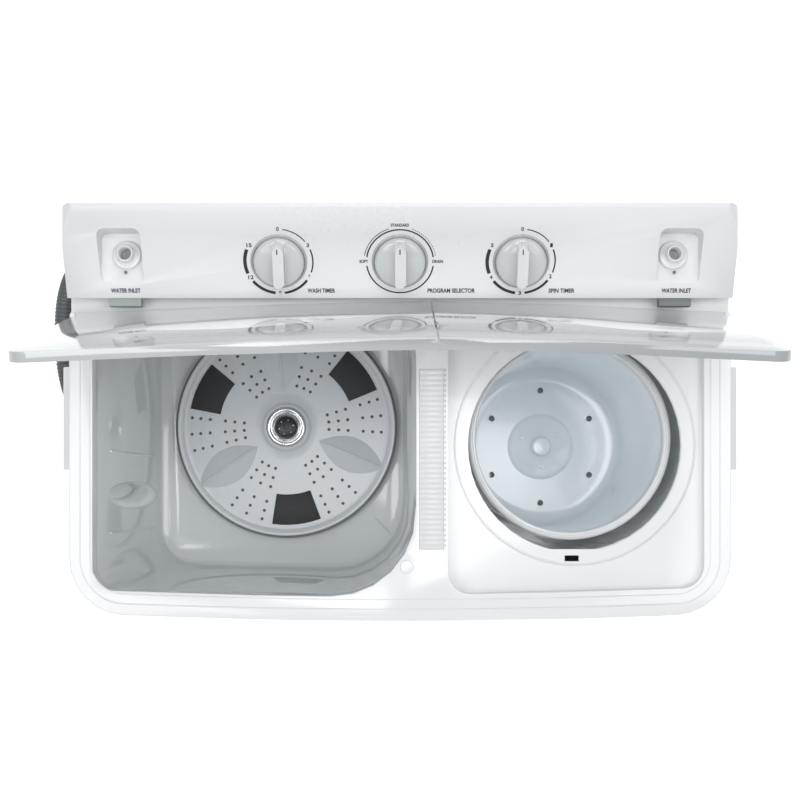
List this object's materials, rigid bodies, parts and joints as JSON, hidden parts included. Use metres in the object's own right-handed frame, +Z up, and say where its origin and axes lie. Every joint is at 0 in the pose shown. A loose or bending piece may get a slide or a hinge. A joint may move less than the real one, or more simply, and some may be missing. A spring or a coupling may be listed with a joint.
{
  "type": "top load washing machine",
  "caption": "Portable twin-tub top-loading washing machine with an agitated wash tub, a spin dryer, hinged lids, dial controls and a corrugated drain hose.",
  "frame": {"origin": "centre of the footprint at floor level, under the middle of the machine", "axes": "+X to the machine's right as seen from the front, +Y to the back where the control panel is, +Z up"},
  "size_m": [0.7919, 0.4595, 1.1137],
  "materials": {
    "white_gloss": "glossy moulded, fine dust of wear",
    "panel_grey": "satin",
    "tub_grey": "satin, wet sheen",
    "pulsator_blue": "satin",
    "basket_blue": "satin",
    "lid_milk": "glossy, slightly translucent",
    "knob_grey": "glossy",
    "mesh_charcoal": "woven mesh pad",
    "hose_grey": "corrugated, satin",
    "rubber_black": "matt",
    "steel": "plain",
    "hub_chrome": "polished",
    "motor_metal": "painted casting",
    "black_plastic": "satin"
  },
  "bodies": {
    "machine": {"base_tray": "white_gloss", "cabinet": "white_gloss", "rear_cover": "white_gloss", "top_deck": "white_gloss", "washboard_strip": "white_gloss", "hand_grip_left": "white_gloss", "hand_grip_right": "white_gloss", "hose_hook": "white_gloss", "hinge_block_left": "white_gloss", "hinge_block_centre": "white_gloss", "hinge_block_right": "white_gloss", "control_panel": "panel_grey", "water_inlet_left": "panel_grey", "water_inlet_right": "panel_grey", "wash_tub": "tub_grey", "spin_tub": "tub_grey", "drain_valve_body": "tub_grey", "water_duct_left": "tub_grey", "water_duct_right": "tub_grey", "lint_filter_cover": "pulsator_blue", "drain_hose": "hose_grey", "hose_end": "hose_grey", "drain_elbow": "hose_grey", "internal_drain_hose": "hose_grey", "foot_front_left": "rubber_black", "foot_back_left": "rubber_black", "foot_front_right": "rubber_black", "foot_back_right": "rubber_black", "drive_belt": "rubber_black", "spin_shaft_seal": "rubber_black", "spin_motor_mount_1": "rubber_black", "spin_motor_mount_2": "rubber_black", "spin_motor_mount_3": "rubber_black", "wash_motor_bracket": "steel", "gearbox": "motor_metal", "wash_motor": "motor_metal", "spin_motor": "motor_metal", "power_cord_gland": "black_plastic", "wash_timer_switch": "black_plastic", "selector_switch": "black_plastic", "spin_timer_switch": "black_plastic", "wiring_loom": "black_plastic"},
    "lid_left": {"lid_left": "lid_milk"},
    "lid_right": {"lid_right": "lid_milk"},
    "pulsator": {"pulsator": "pulsator_blue", "lint_pad_1": "mesh_charcoal", "lint_pad_2": "mesh_charcoal", "lint_pad_3": "mesh_charcoal", "pulsator_hub_ring": "hub_chrome", "pulsator_bolt_cap": "black_plastic"},
    "drive_pulley": {"drive_pulley": "black_plastic"},
    "motor_pulley": {"motor_pulley": "black_plastic"},
    "spin_basket": {"spin_basket": "basket_blue", "basket_balance_ring": "pulsator_blue", "spin_shaft_and_brake_drum": "steel"},
    "wash_timer_knob": {"wash_timer_knob": "knob_grey"},
    "selector_knob": {"selector_knob": "knob_grey"},
    "spin_timer_knob": {"spin_timer_knob": "knob_grey"},
    "brake_lever": {"brake_lever": "steel"},
    "drain_valve_plug": {"drain_valve_plug": "rubber_black"}
  },
  "joints": [
    {"name": "lid_left_hinge", "type": "hinge", "parent": "machine", "child": "lid_left", "pos_m": [-0.16, 0.115, 0.785], "axis": [-1, 0, 0], "range_deg": [-77, 17]},
    {"name": "lid_right_hinge", "type": "hinge", "parent": "machine", "child": "lid_right", "pos_m": [0.2, 0.115, 0.785], "axis": [-1, 0, 0], "range_deg": [-77, 17]},
    {"name": "pulsator_spin", "type": "hinge", "parent": "machine", "child": "pulsator", "pos_m": [-0.1566, 0.008, 0.41], "axis": [0, 0, 1], "continuous": true},
    {"name": "drive_pulley_spin", "type": "hinge", "parent": "machine", "child": "drive_pulley", "pos_m": [-0.1566, 0.008, 0.278], "axis": [0, 0, 1], "continuous": true},
    {"name": "motor_pulley_spin", "type": "hinge", "parent": "machine", "child": "motor_pulley", "pos_m": [-0.02, 0.06, 0.278], "axis": [0, 0, 1], "continuous": true},
    {"name": "spin_basket_spin", "type": "hinge", "parent": "machine", "child": "spin_basket", "pos_m": [0.197, -0.018, 0.5], "axis": [0, 0, 1], "continuous": true},
    {"name": "wash_timer_turn", "type": "hinge", "parent": "machine", "child": "wash_timer_knob", "pos_m": [-0.134, 0.1745, 0.81709], "axis": [0, 0.5075, -0.8616], "range_deg": [0, 300]},
    {"name": "selector_turn", "type": "hinge", "parent": "machine", "child": "selector_knob", "pos_m": [0, 0.1745, 0.81709], "axis": [0, 0.5075, -0.8616], "range_deg": [-90, 90]},
    {"name": "spin_timer_turn", "type": "hinge", "parent": "machine", "child": "spin_timer_knob", "pos_m": [0.134, 0.1745, 0.81709], "axis": [0, 0.5075, -0.8616], "range_deg": [0, 300]},
    {"name": "brake_lever_turn", "type": "hinge", "parent": "machine", "child": "brake_lever", "pos_m": [0.14, 0.04, 0.245], "axis": [0, 0, 1], "range_deg": [-1.5, 5]},
    {"name": "drain_plug_lift", "type": "slide", "parent": "machine", "child": "drain_valve_plug", "axis": [0, 0, 1], "range_m": [-0.0055, 0.0055]}
  ],
  "couplings": [
    {"joint": "drive_pulley_spin", "follows": "pulsator_spin", "ratio": 5},
    {"joint": "motor_pulley_spin", "follows": "pulsator_spin", "ratio": 16},
    {"joint": "brake_lever_turn", "follows": "lid_right_hinge", "ratio": -0.06},
    {"joint": "drain_plug_lift", "follows": "selector_turn", "m_per_rad": 0.003374}
  ]
}
